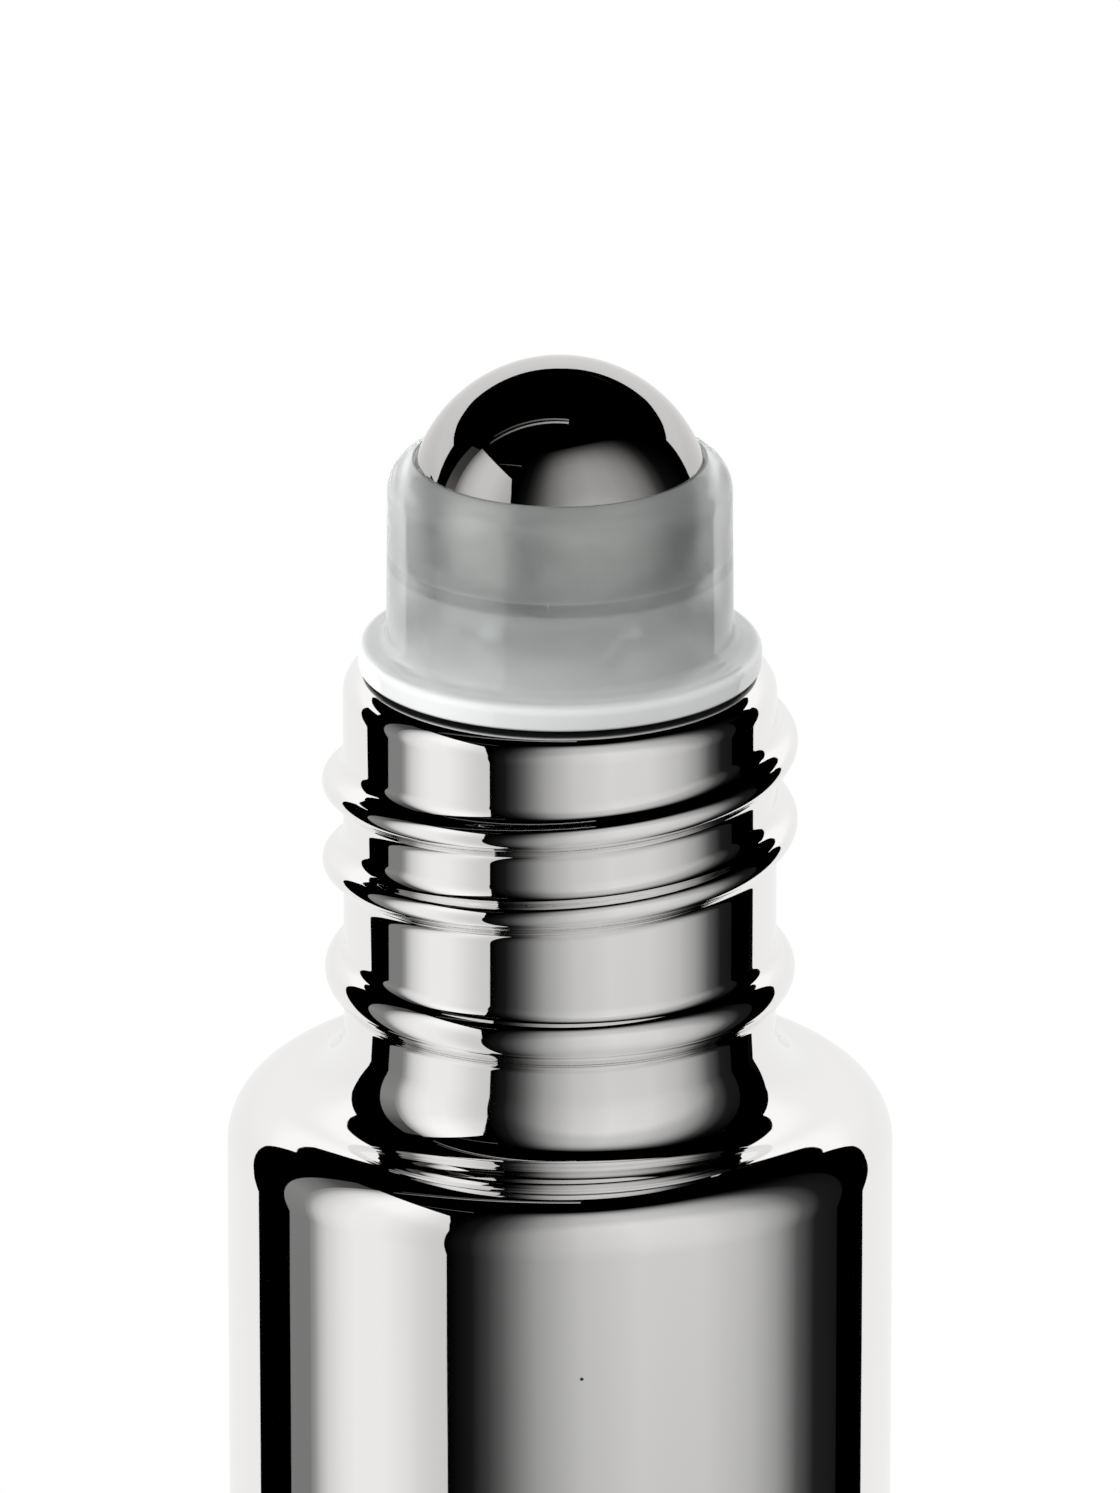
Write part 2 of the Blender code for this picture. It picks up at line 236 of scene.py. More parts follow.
def screw_thread_tree():
    """Raises a helical rib on the neck's wall, with filleted feet and ends that run out."""
    tree = bpy.data.node_groups.new("screw_thread", "GeometryNodeTree")
    tree.interface.new_socket("Geometry", in_out="INPUT", socket_type="NodeSocketGeometry")
    sizes = ("Wall Radius", "Top", "Pitch", "Turns", "Start", "Run Out", "Height", "Crest", "Fillet")
    for name in sizes:
        tree.interface.new_socket(name, in_out="INPUT", socket_type="NodeSocketFloat")
    tree.interface.new_socket("Material", in_out="INPUT", socket_type="NodeSocketMaterial")
    tree.interface.new_socket("Geometry", in_out="OUTPUT", socket_type="NodeSocketGeometry")
    given = add_node(tree, "NodeGroupInput").outputs
    place = add_node(tree, "GeometryNodeInputPosition")
    parts = add_node(tree, "ShaderNodeSeparateXYZ", {0: place})
    level = add_node(tree, "ShaderNodeVectorMath", {0: place, 1: (1, 1, 0)}, operation="MULTIPLY")
    spread = add_node(tree, "ShaderNodeVectorMath", {0: level}, operation="LENGTH")
    radius = spread.outputs["Value"]

    # How far along the thread this point is, in turns from its top end
    sideways, forward = parts.outputs["X"], parts.outputs["Y"]
    angle = add_node(tree, "ShaderNodeMath", {0: forward, 1: sideways}, operation="ARCTAN2")
    back = add_node(tree, "ShaderNodeMath", {0: given["Start"], 1: angle}, operation="SUBTRACT")
    share = add_node(tree, "ShaderNodeMath", {0: back, 1: math.tau}, operation="DIVIDE")
    first = add_node(tree, "ShaderNodeMath", {0: share}, operation="FRACT")
    height, pitch = parts.outputs["Z"], given["Pitch"]
    depth = add_node(tree, "ShaderNodeMath", {0: given["Top"], 1: height}, operation="SUBTRACT")
    down = add_node(tree, "ShaderNodeMath", {0: depth, 1: pitch}, operation="DIVIDE")
    nearest = add_node(tree, "ShaderNodeMath", {0: down, 1: first}, operation="SUBTRACT")
    whole = add_node(tree, "ShaderNodeMath", {0: nearest}, operation="ROUND")
    rest = add_node(tree, "ShaderNodeMath", {0: given["Turns"], 1: first}, operation="SUBTRACT")
    last = add_node(tree, "ShaderNodeMath", {0: rest}, operation="FLOOR")
    below_last = add_node(tree, "ShaderNodeMath", {0: whole, 1: last}, operation="MINIMUM")
    turn = add_node(tree, "ShaderNodeMath", {0: below_last, 1: 0.0}, operation="MAXIMUM")
    along = add_node(tree, "ShaderNodeMath", {0: first, 1: turn}, operation="ADD")

    # The rib's height there: crest arc inside the joint, fillet arc outside it
    turns_off = add_node(tree, "ShaderNodeMath", {0: down, 1: along}, operation="SUBTRACT")
    signed_off = add_node(tree, "ShaderNodeMath", {0: turns_off, 1: pitch}, operation="MULTIPLY")
    off = add_node(tree, "ShaderNodeMath", {0: signed_off}, operation="ABSOLUTE")
    crest, fillet = given["Crest"], given["Fillet"]
    sunk = add_node(tree, "ShaderNodeMath", {0: crest, 1: given["Height"]}, operation="SUBTRACT")
    both = add_node(tree, "ShaderNodeMath", {0: crest, 1: fillet}, operation="ADD")
    lift = add_node(tree, "ShaderNodeMath", {0: sunk, 1: fillet}, operation="ADD")
    both_sq = add_node(tree, "ShaderNodeMath", {0: both, 1: both}, operation="MULTIPLY")
    lift_sq = add_node(tree, "ShaderNodeMath", {0: lift, 1: lift}, operation="MULTIPLY")
    reach_sq = add_node(tree, "ShaderNodeMath", {0: both_sq, 1: lift_sq}, operation="SUBTRACT")
    reach = add_node(tree, "ShaderNodeMath", {0: reach_sq}, operation="SQRT")
    crest_share = add_node(tree, "ShaderNodeMath", {0: crest, 1: both}, operation="DIVIDE")
    joint = add_node(tree, "ShaderNodeMath", {0: reach, 1: crest_share}, operation="MULTIPLY")
    crest_sq = add_node(tree, "ShaderNodeMath", {0: crest, 1: crest}, operation="MULTIPLY")
    off_sq = add_node(tree, "ShaderNodeMath", {0: off, 1: off}, operation="MULTIPLY")
    crest_rise = add_node(tree, "ShaderNodeMath", {0: crest_sq, 1: off_sq}, operation="SUBTRACT")
    crest_real = add_node(tree, "ShaderNodeMath", {0: crest_rise, 1: 0.0}, operation="MAXIMUM")
    crest_up = add_node(tree, "ShaderNodeMath", {0: crest_real}, operation="SQRT")
    crest_height = add_node(tree, "ShaderNodeMath", {0: crest_up, 1: sunk}, operation="SUBTRACT")
    inward = add_node(tree, "ShaderNodeMath", {0: reach, 1: off}, operation="SUBTRACT")
    inner = add_node(tree, "ShaderNodeMath", {0: inward, 1: 0.0}, operation="MAXIMUM")
    inward_sq = add_node(tree, "ShaderNodeMath", {0: inner, 1: inner}, operation="MULTIPLY")
    fillet_sq = add_node(tree, "ShaderNodeMath", {0: fillet, 1: fillet}, operation="MULTIPLY")
    fillet_rise = add_node(tree, "ShaderNodeMath", {0: fillet_sq, 1: inward_sq}, operation="SUBTRACT")
    fillet_real = add_node(tree, "ShaderNodeMath", {0: fillet_rise, 1: 0.0}, operation="MAXIMUM")
    fillet_up = add_node(tree, "ShaderNodeMath", {0: fillet_real}, operation="SQRT")
    fillet_height = add_node(tree, "ShaderNodeMath", {0: fillet, 1: fillet_up}, operation="SUBTRACT")
    in_crest = add_node(tree, "ShaderNodeMath", {0: off, 1: joint}, operation="LESS_THAN")
    section = add_node(tree, "ShaderNodeMix", {0: in_crest, 2: fillet_height, 3: crest_height})

    # The ends run out: the rib is lower close to either end
    to_end = add_node(tree, "ShaderNodeMath", {0: given["Turns"], 1: along}, operation="SUBTRACT")
    nearer = add_node(tree, "ShaderNodeMath", {0: along, 1: to_end}, operation="MINIMUM")
    run = add_node(tree, "ShaderNodeMath", {0: nearer, 1: given["Run Out"]}, operation="DIVIDE")
    risen = add_node(tree, "ShaderNodeMapRange", {0: run}, interpolation_type="SMOOTHSTEP")
    rise = add_node(tree, "ShaderNodeMath", {0: section, 1: risen}, operation="MULTIPLY")
    rise_share = add_node(tree, "ShaderNodeMath", {0: rise, 1: radius}, operation="DIVIDE")
    scaled = {0: level, "Scale": rise_share}
    offset = add_node(tree, "ShaderNodeVectorMath", scaled, operation="SCALE")
    on_wall = add_node(
        tree,
        "FunctionNodeCompare",
        {"A": radius, "B": given["Wall Radius"], "Epsilon": MERGE_DISTANCE},
        operation="EQUAL",
    )
    raised = add_node(
        tree,
        "GeometryNodeSetPosition",
        {"Geometry": given["Geometry"], "Selection": on_wall, "Offset": offset},
    )
    real = add_node(tree, "GeometryNodeRealizeInstances", {"Geometry": raised})
    material = given["Material"]
    coated = add_node(tree, "GeometryNodeSetMaterial", {"Geometry": real, "Material": material})
    add_node(tree, "NodeGroupOutput", {"Geometry": coated})
    return tree


# Vacuum-metallised glass: aluminium on a fire-polished surface under lacquer, which gives a mirror
# that is hardly blurred, warm by a hair, and a little darker than bare silver.
# The blown wall under it has waves 7 mm long and a hundredth of a millimetre deep, which bend the
# edges of what it mirrors. Dust left a pinhole in the coat, and wiped oil dulls it in faint patches
# 3 mm wide.
COAT_COLOUR = "#F1F0EF"
WAVE_SCALE = 140.0
WAVE_DEPTH = 0.000012
PINHOLE_COLOUR = "#3A3836"
PINHOLE_PLACE = (0.00071, -0.01098, 0.04646)
PINHOLE_RADIUS = 0.000075
PINHOLE_CORE_SHARE = 0.6
SMEAR_SCALE = 320.0
SMEAR_BAND = (0.45, 0.75)
SMEAR_ROUGHNESS = (0.020, 0.038)
metallised_glass, tree, shader = surface("vacuum_metallised_glass", {"Metallic": 1.0})
place = add_node(tree, "ShaderNodeTexCoord").outputs["Object"]
waves = add_node(tree, "ShaderNodeTexNoise", {"Vector": place, "Scale": WAVE_SCALE, "Detail": 1.0})
wavy = add_node(tree, "ShaderNodeBump", {"Height": waves, "Distance": WAVE_DEPTH, "Strength": 1.0})
tree.links.new(wavy.outputs[0], shader.inputs["Normal"])
from_hole = add_node(tree, "ShaderNodeVectorMath", {0: place, 1: PINHOLE_PLACE}, operation="DISTANCE")
core = PINHOLE_RADIUS * PINHOLE_CORE_SHARE
hole = {0: from_hole.outputs["Value"], 1: core, 2: PINHOLE_RADIUS, 3: 1.0, 4: 0.0}
bare = add_node(tree, "ShaderNodeMapRange", hole)
coat = {0: bare, 6: linear(COAT_COLOUR), 7: linear(PINHOLE_COLOUR)}
coat_colour = add_node(tree, "ShaderNodeMix", coat, data_type="RGBA")
tree.links.new(coat_colour.outputs[2], shader.inputs["Base Color"])
smears = add_node(tree, "ShaderNodeTexNoise", {"Vector": place, "Scale": SMEAR_SCALE, "Detail": 3.0})
smear = {0: smears, 1: SMEAR_BAND[0], 2: SMEAR_BAND[1], 3: SMEAR_ROUGHNESS[0], 4: SMEAR_ROUGHNESS[1]}
dulled = add_node(tree, "ShaderNodeMapRange", smear)
tree.links.new(dulled.outputs[0], shader.inputs["Roughness"])
glass_bottle = spun("mirror_coated_bottle", glass_outline())
with_nodes(
    glass_bottle,
    screw_thread_tree(),
    {
        "Wall Radius": NECK_RADIUS,
        "Top": THREAD_TOP_Z,
        "Pitch": THREAD_PITCH,
        "Turns": THREAD_TURNS,
        "Start": math.radians(THREAD_START_DEGREES),
        "Run Out": THREAD_RUN_OUT_DEGREES / 360,
        "Height": THREAD_HEIGHT,
        "Crest": THREAD_CREST_RADIUS,
        "Fillet": THREAD_ROOT_FILLET,
        "Material": metallised_glass,
    },
)
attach(glass_bottle, "bottle")
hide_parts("glass_bottle")

# Perfume oil: the 10 ml fill, a clear blend that stands level in the glass. It wets the wall and
# draws up a small meniscus there. The mirror coat hides it, so it shows only with the glass off.
OIL_LOW, OIL_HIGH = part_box("perfume_oil")
MENISCUS_RADIUS = 0.0006
oil_radius = OIL_HIGH.x
oil_heel = INNER_HEEL_RADIUS - (OIL_LOW.z - FLOOR_Z)
# Amber oil: essential oils in a clear carrier, and a shade deeper towards the floor, where the
# heavy resins sink in clouds about 11 mm wide.
OIL_CLOUD_SCALE = 90.0
DEEP_AMBER = "#C98F38"
LIGHT_AMBER = "#EBC274"
perfume_oil_amber, tree, shader = surface(
    "amber_perfume_oil",
    {"Roughness": 0.02, "IOR": 1.47, "Transmission Weight": 0.9},
)
place = add_node(tree, "ShaderNodeTexCoord").outputs["Object"]
clouds = {"Vector": place, "Scale": OIL_CLOUD_SCALE, "Detail": 1.0}
drift = add_node(tree, "ShaderNodeTexNoise", clouds)
height = add_node(tree, "ShaderNodeSeparateXYZ", {0: place}).outputs["Z"]
depth = add_node(tree, "ShaderNodeMapRange", {0: height, 1: OIL_LOW.z, 2: OIL_HIGH.z})
cloud = add_node(tree, "ShaderNodeMath", {0: drift, 1: depth}, operation="MULTIPLY")
amber_ends = {0: cloud, 6: linear(DEEP_AMBER), 7: linear(LIGHT_AMBER)}
amber = add_node(tree, "ShaderNodeMix", amber_ends, data_type="RGBA")
tree.links.new(amber.outputs[2], shader.inputs["Base Color"])
oil = spun(
    "perfume_oil_fill",
    [(0, OIL_HIGH.z - MENISCUS_RADIUS)]
    + arc((oil_radius - MENISCUS_RADIUS, OIL_HIGH.z), MENISCUS_RADIUS, 270, 360)
    + arc((oil_radius - oil_heel, OIL_LOW.z + oil_heel), oil_heel, 0, -90)
    + [(0, OIL_LOW.z)],
)
oil.data.materials.append(perfume_oil_amber)
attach(oil, "bottle")
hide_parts("perfume_oil")

# Roller fitment: one injection moulding of natural polypropylene. The ball is snapped past its lip
# onto a seat with feed grooves, and its hollow plug, with sealing rings, is pressed into the neck
# until the flange lies on the glass.
BALL_LOW, BALL_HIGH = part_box("roller_ball")
BALL_CENTRE = (BALL_LOW + BALL_HIGH) / 2
BALL_RADIUS = BALL_HIGH.x
FITMENT_LOW, FITMENT_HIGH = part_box("roller_housing")
CUP_RADIUS = 0.00570
CUP_LIP_RADIUS = 0.00565
HOLLOW_RADIUS = BALL_RADIUS + 0.00012
LIP_REACH = BALL_RADIUS + 0.00007
LIP_OUTER_RADIUS = 0.0012
LIP_EDGE_ROUND = 0.00004
LEDGE_BELOW_BALL_CENTRE = 0.00178
FEED_BORE_RADIUS = 0.0030
FEED_BORE_LENGTH = 0.0019
FLANGE_UNDERSIDE_Z = MOUTH_Z + 0.0001
FLANGE_THICKNESS = 0.00085
FLANGE_EDGE_RADIUS = 0.00034
FLANGE_FOOT_RADIUS = 0.00015
FLANGE_FILLET_RADIUS = 0.0004
PLUG_RADIUS = 0.0045
PLUG_BORE_RADIUS = 0.00345
PLUG_STEP = 0.0004
PLUG_LEAD_IN = 0.0005
SEALING_RINGS = 3
SEALING_RING_HEIGHT = 0.0003
SEALING_RING_CREST_RADIUS = 0.00025
SEALING_RING_FILLET = 0.00012
FEED_GROOVES = 6
GROOVE_WIDTH = 0.0007
GROOVE_DEPTH = 0.00035
GROOVE_LENGTH = 0.0026
GROOVE_PAST_BORE = 0.0006

seat_end = math.degrees(math.acos(FEED_BORE_RADIUS / HOLLOW_RADIUS))


def fitment_outline():
    """The moulding as a ring: up the plug, round the flange, up the cup and down inside."""
    plug_foot = FITMENT_LOW.z
    ring_pitch = (MOUTH_Z - plug_foot - PLUG_LEAD_IN) / (SEALING_RINGS + 1)
    plug = [(PLUG_RADIUS - PLUG_LEAD_IN, plug_foot), (PLUG_RADIUS, plug_foot + PLUG_LEAD_IN)]
    for ring in range(SEALING_RINGS, 0, -1):
        plug += filleted_rib(
            PLUG_RADIUS,
            MOUTH_Z - ring * ring_pitch,
            SEALING_RING_HEIGHT,
            SEALING_RING_CREST_RADIUS,
            SEALING_RING_FILLET,
        )
    edge, foot, fillet = FLANGE_EDGE_RADIUS, FLANGE_FOOT_RADIUS, FLANGE_FILLET_RADIUS
    rim = FITMENT_HIGH.x
    top = FLANGE_UNDERSIDE_Z + FLANGE_THICKNESS
    flange = (
        [(PLUG_RADIUS, FLANGE_UNDERSIDE_Z)]
        + arc((rim - foot, FLANGE_UNDERSIDE_Z + foot), foot, -90, 0)
        + arc((rim - edge, top - edge), edge, 0, 90)
        + arc((CUP_RADIUS + fillet, top + fillet), fillet, 270, 180)
    )
    lip_z = FITMENT_HIGH.z
    lip_rise = lip_z - BALL_CENTRE.z
    opening = math.sqrt(LIP_REACH**2 - lip_rise**2)
    under_lip = math.degrees(math.asin((lip_rise - LIP_EDGE_ROUND) / HOLLOW_RADIUS))
    lip_end = math.acos(1 - (CUP_LIP_RADIUS - opening - LIP_EDGE_ROUND) / LIP_OUTER_RADIUS)
    lip_centre = (CUP_LIP_RADIUS - LIP_OUTER_RADIUS, lip_z - LIP_OUTER_RADIUS * math.sin(lip_end))
    ledge_z = BALL_CENTRE.z - LEDGE_BELOW_BALL_CENTRE
    ledge = math.degrees(math.asin(LEDGE_BELOW_BALL_CENTRE / HOLLOW_RADIUS))
    centre = (0, BALL_CENTRE.z)
    cup = (
        arc(lip_centre, LIP_OUTER_RADIUS, 0, math.degrees(lip_end))
        + [(opening, lip_z - LIP_EDGE_ROUND)]
        + arc(centre, HOLLOW_RADIUS, under_lip, 0)
        + [(HOLLOW_RADIUS, ledge_z)]
        + arc(centre, HOLLOW_RADIUS, -ledge, -seat_end)
    )
    feed_top = BALL_CENTRE.z - math.sqrt(HOLLOW_RADIUS**2 - FEED_BORE_RADIUS**2)
    feed_foot = feed_top - FEED_BORE_LENGTH
    bores = [
        (FEED_BORE_RADIUS, feed_foot),
        (PLUG_BORE_RADIUS, feed_foot - PLUG_STEP),
        (PLUG_BORE_RADIUS, plug_foot),
    ]
    return plug + flange + cup + bores


def feed_grooves_tree():
    """Cuts a ring of like grooves: one bar, turned round the axis by instances, and a difference."""
    tree = bpy.data.node_groups.new("feed_grooves", "GeometryNodeTree")
    tree.interface.new_socket("Geometry", in_out="INPUT", socket_type="NodeSocketGeometry")
    tree.interface.new_socket("Count", in_out="INPUT", socket_type="NodeSocketInt")
    tree.interface.new_socket("Bar Size", in_out="INPUT", socket_type="NodeSocketVector")
    tree.interface.new_socket("Bar Middle", in_out="INPUT", socket_type="NodeSocketVector")
    tree.interface.new_socket("Slope", in_out="INPUT", socket_type="NodeSocketFloat")
    tree.interface.new_socket("Material", in_out="INPUT", socket_type="NodeSocketMaterial")
    tree.interface.new_socket("Geometry", in_out="OUTPUT", socket_type="NodeSocketGeometry")
    given = add_node(tree, "NodeGroupInput").outputs
    bar = add_node(tree, "GeometryNodeMeshCube", {"Size": given["Bar Size"]})
    tilt = add_node(tree, "ShaderNodeCombineXYZ", {"Y": given["Slope"]})
    laid = add_node(
        tree,
        "GeometryNodeTransform",
        {"Geometry": bar, "Translation": given["Bar Middle"], "Rotation": tilt},
    )
    points = add_node(tree, "GeometryNodePoints", {"Count": given["Count"]})
    index = add_node(tree, "GeometryNodeInputIndex")
    share = add_node(tree, "ShaderNodeMath", {0: index, 1: given["Count"]}, operation="DIVIDE")
    angle = add_node(tree, "ShaderNodeMath", {0: share, 1: math.tau}, operation="MULTIPLY")
    turned = add_node(tree, "ShaderNodeCombineXYZ", {"Z": angle})
    bars = add_node(
        tree,
        "GeometryNodeInstanceOnPoints",
        {"Points": points, "Instance": laid, "Rotation": turned},
    )
    real = add_node(tree, "GeometryNodeRealizeInstances", {"Geometry": bars})
    cut = add_node(
        tree,
        "GeometryNodeMeshBoolean",
        {"Mesh 1": given["Geometry"], "Mesh 2": real},
        operation="DIFFERENCE",
    )
    whole = add_node(tree, "GeometryNodeRealizeInstances", {"Geometry": cut})
    material = given["Material"]
    moulded = add_node(tree, "GeometryNodeSetMaterial", {"Geometry": whole, "Material": material})
    add_node(tree, "NodeGroupOutput", {"Geometry": moulded})
    return tree


# Natural polypropylene, injection moulded in a polished cavity: unpigmented, so a thin wall lets the
# ball show through as a grey band and a thick one turns milky, under a clean gloss. The grey band is
# partly that real see-through and partly painted shade. A ramp up the moulding's height holds its
# colour, with its clearness as alpha: a grey stripe just over the ledge is painted shade of the ball
# behind, and the dark ring at the flange's foot is painted shade of the gap on the glass. The wall of
# the ball's hollow has a darker ramp, painted shade for the light that is lost behind the ball.
# The IOR is close to 1, so the haze doesn't bend the ball out of place, and the coat gives the gloss.
# The flow of the melt left streaks 3 mm by 1.
FLANGE_TOP_Z = FLANGE_UNDERSIDE_Z + FLANGE_THICKNESS
LEDGE_Z = BALL_CENTRE.z - LEDGE_BELOW_BALL_CENTRE
# Outer skin: milky and clear tones of the plastic, with painted shade at the flange's foot and over
# the ledge.
OUTER_SKIN_AND_PAINTED_SHADE = (
    (FITMENT_LOW.z, "#F4F7F6", 0.45),
    (FLANGE_UNDERSIDE_Z - 0.0004, "#F4F7F6", 0.35),
    # Painted shade: a dark ring at the flange's foot, where the gap on the glass is.
    (FLANGE_UNDERSIDE_Z + 0.00001, "#2E2F2F", 0.02),
    (FLANGE_UNDERSIDE_Z + 0.00009, "#F9FBFA", 0.10),
    (FLANGE_TOP_Z - 0.0001, "#F9FBFA", 0.12),
    (FLANGE_TOP_Z, "#F4F7F6", 0.45),
    (LEDGE_Z - 0.00008, "#F4F7F6", 0.80),
    # Painted shade: a grey stripe just over the ledge, the shade of the ball behind the wall.
    (LEDGE_Z + 0.00004, "#DFE1E0", 0.93),
    (LEDGE_Z + 0.00040, "#E6E8E7", 0.92),
    (LEDGE_Z + 0.00045, "#F8FAF9", 0.84),
    (LEDGE_Z + 0.00055, "#F6F8F7", 0.93),
    (FITMENT_HIGH.z, "#F8FAF9", 0.93),
)
# Hollow skin: the wall of the ball's hollow, darker all over as painted shade of the light lost
# behind the ball.
HOLLOW_SKIN_PAINTED_SHADE = (
    (FITMENT_LOW.z, "#F0F3F2", 0.45),
    (LEDGE_Z - 0.00002, "#F0F3F2", 0.70),
    (LEDGE_Z + 0.00002, "#AEB0AF", 0.76),
    (LEDGE_Z + 0.0008, "#BEC0BF", 0.77),
    (FITMENT_HIGH.z, "#C4C6C5", 0.78),
)
# How far past the hollow's wall the painted shade of the hollow skin reaches.
HOLLOW_SKIN_PAINTED_SHADE_DEPTH = 0.00002
FLOW_STRETCH = (330.0, 330.0, 900.0)
FLOW_BAND = (0.3, 0.7)
FLOW_CLEARNESS = (0.95, 1.04)
natural_polypropylene, tree, shader = surface(
    "natural_polypropylene",
    {"Roughness": 0.85, "IOR": 1.08, "Coat Weight": 1.0, "Coat Roughness": 0.04, "Coat IOR": 1.6},
)
place = add_node(tree, "ShaderNodeTexCoord").outputs["Object"]
parts = add_node(tree, "ShaderNodeSeparateXYZ", {0: place}).outputs
share = add_node(tree, "ShaderNodeMapRange", {0: parts["Z"], 1: FITMENT_LOW.z, 2: FITMENT_HIGH.z})
skin_ramps_and_painted_shade = []
for stops in (OUTER_SKIN_AND_PAINTED_SHADE, HOLLOW_SKIN_PAINTED_SHADE):
    milk_and_painted_shade = add_node(tree, "ShaderNodeValToRGB", {0: share})
    while len(milk_and_painted_shade.color_ramp.elements) < len(stops):
        milk_and_painted_shade.color_ramp.elements.new(1.0)
    for element, (z, colour, clear) in zip(milk_and_painted_shade.color_ramp.elements, stops):
        element.position = (z - FITMENT_LOW.z) / (FITMENT_HIGH.z - FITMENT_LOW.z)
        element.color = linear(colour)[:3] + (clear,)
    skin_ramps_and_painted_shade.append(milk_and_painted_shade.outputs)
# Mask of the hollow's wall, which takes the hollow skin's painted shade.
rise = add_node(tree, "ShaderNodeMath", {0: parts["Z"], 1: BALL_CENTRE.z}, operation="SUBTRACT")
over = add_node(tree, "ShaderNodeMath", {0: rise, 1: 0.0}, operation="MAXIMUM")
spot = add_node(tree, "ShaderNodeCombineXYZ", {0: parts["X"], 1: parts["Y"], 2: over})
reach = add_node(tree, "ShaderNodeVectorMath", {0: spot}, operation="LENGTH").outputs["Value"]
within = {0: reach, 1: HOLLOW_RADIUS + HOLLOW_SKIN_PAINTED_SHADE_DEPTH}
inside = add_node(tree, "ShaderNodeMath", within, operation="LESS_THAN")
# The colour: the outer skin's with its painted shade, or inside the hollow the hollow skin's painted
# shade.
tint_and_painted_shade_ends = {0: inside, 6: skin_ramps_and_painted_shade[0]["Color"], 7: skin_ramps_and_painted_shade[1]["Color"]}
tint_and_painted_shade = add_node(tree, "ShaderNodeMix", tint_and_painted_shade_ends, data_type="RGBA")
tree.links.new(tint_and_painted_shade.outputs[2], shader.inputs["Base Color"])
clear = add_node(tree, "ShaderNodeMix", {0: inside, 2: skin_ramps_and_painted_shade[0]["Alpha"], 3: skin_ramps_and_painted_shade[1]["Alpha"]})
melt = add_node(tree, "ShaderNodeVectorMath", {0: place, 1: FLOW_STRETCH}, operation="MULTIPLY")
flow = add_node(tree, "ShaderNodeTexNoise", {"Vector": melt, "Scale": 1.0, "Detail": 2.0})
streaky = {0: flow, 1: FLOW_BAND[0], 2: FLOW_BAND[1], 3: FLOW_CLEARNESS[0], 4: FLOW_CLEARNESS[1]}
flow_share = add_node(tree, "ShaderNodeMapRange", streaky)
clouded = add_node(tree, "ShaderNodeMath", {0: clear, 1: flow_share}, operation="MULTIPLY")
tree.links.new(clouded.outputs[0], shader.inputs["Transmission Weight"])
fitment = spun("roller_fitment", fitment_outline(), ring=True)
up_the_seat = (GROOVE_LENGTH / 2 - GROOVE_PAST_BORE) / HOLLOW_RADIUS
groove_angle = math.radians(seat_end) - up_the_seat
with_nodes(
    fitment,
    feed_grooves_tree(),
    {
        "Count": FEED_GROOVES,
        "Bar Size": (GROOVE_LENGTH, GROOVE_WIDTH, 2 * GROOVE_DEPTH),
        "Bar Middle": (
            HOLLOW_RADIUS * math.cos(groove_angle),
            0,
            BALL_CENTRE.z - HOLLOW_RADIUS * math.sin(groove_angle),
        ),
        "Slope": groove_angle - math.pi / 2,
        "Material": natural_polypropylene,
    },
)
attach(fitment, "bottle")
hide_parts("roller_housing")

# Roller ball: a ground and polished stainless steel bearing ball, 10 mm. It lies loose in its cup,
# held by the lip, and carries the oil out of the feed grooves as it rolls.
BALL_SEGMENTS = 128
BALL_RINGS = 64
# Polished stainless steel: lapped to a mirror that is darker than the coat's, greyish and a hair
# warm. A film of oil blurs it in faint streaks, 2.5 mm long and 0.7 mm wide, where it rolled.
STEEL_COLOUR = "#BDBBB9"
STREAK_STRETCH = (1500.0, 400.0, 400.0)
FILM_BAND = (0.4, 0.75)
FILM_ROUGHNESS = (0.022, 0.045)
polished_stainless, tree, shader = surface(
    "polished_stainless_steel",
    {"Base Color": linear(STEEL_COLOUR), "Metallic": 1.0},
)
place = add_node(tree, "ShaderNodeTexCoord").outputs["Object"]
rolled = add_node(tree, "ShaderNodeVectorMath", {0: place, 1: STREAK_STRETCH}, operation="MULTIPLY")
streaks = add_node(tree, "ShaderNodeTexNoise", {"Vector": rolled, "Scale": 1.0, "Detail": 2.0})
oily = {0: streaks, 1: FILM_BAND[0], 2: FILM_BAND[1], 3: FILM_ROUGHNESS[0], 4: FILM_ROUGHNESS[1]}
film = add_node(tree, "ShaderNodeMapRange", oily)
tree.links.new(film.outputs[0], shader.inputs["Roughness"])
bm = bmesh.new()
bmesh.ops.create_uvsphere(
    bm,
    u_segments=BALL_SEGMENTS,
    v_segments=BALL_RINGS,
    radius=BALL_RADIUS,
    matrix=Matrix.Translation(BALL_CENTRE),
)
ball_mesh = bpy.data.meshes.new("steel_ball")
bm.to_mesh(ball_mesh)
bm.free()
ball_mesh.shade_smooth()
ball_mesh.materials.append(polished_stainless)
ball = bpy.data.objects.new("steel_ball", ball_mesh)
bpy.context.scene.collection.objects.link(ball)
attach(ball, "ball")
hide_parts("roller_ball")

# Studio: a tent of cards round the bottle, for mirrored rays alone. On the left stands a soft box,
# in front hangs a curved diffuser, behind rises a white sweep, and the rest is black. A light fades
# over its own card, so its level follows the place on the card.
MIRRORED_DEPTH = 0.5
LEFT_BOX_X = -0.057
LEFT_BOX_OUTLINE = (
    (-0.0020, -0.15),
    (-0.0020, 0.119),
    (-0.030, 0.124),
    (-0.059, 0.129),
    (-0.067, 0.114),
    (-0.074, 0.092),
    (-0.081, 0.060),
    (-0.081, -0.15),
)
LEFT_BOX_LEVELS = (
    (-0.081, 0.65),
    (-0.065, 0.68),
    (-0.054, 0.75),
    (-0.045, 0.84),
    (-0.034, 0.93),
    (-0.022, 0.93),
    (-0.016, 0.85),
    (-0.010, 0.70),
    (-0.0065, 0.52),
    (-0.0040, 0.32),
    (-0.0020, 0.25),
)
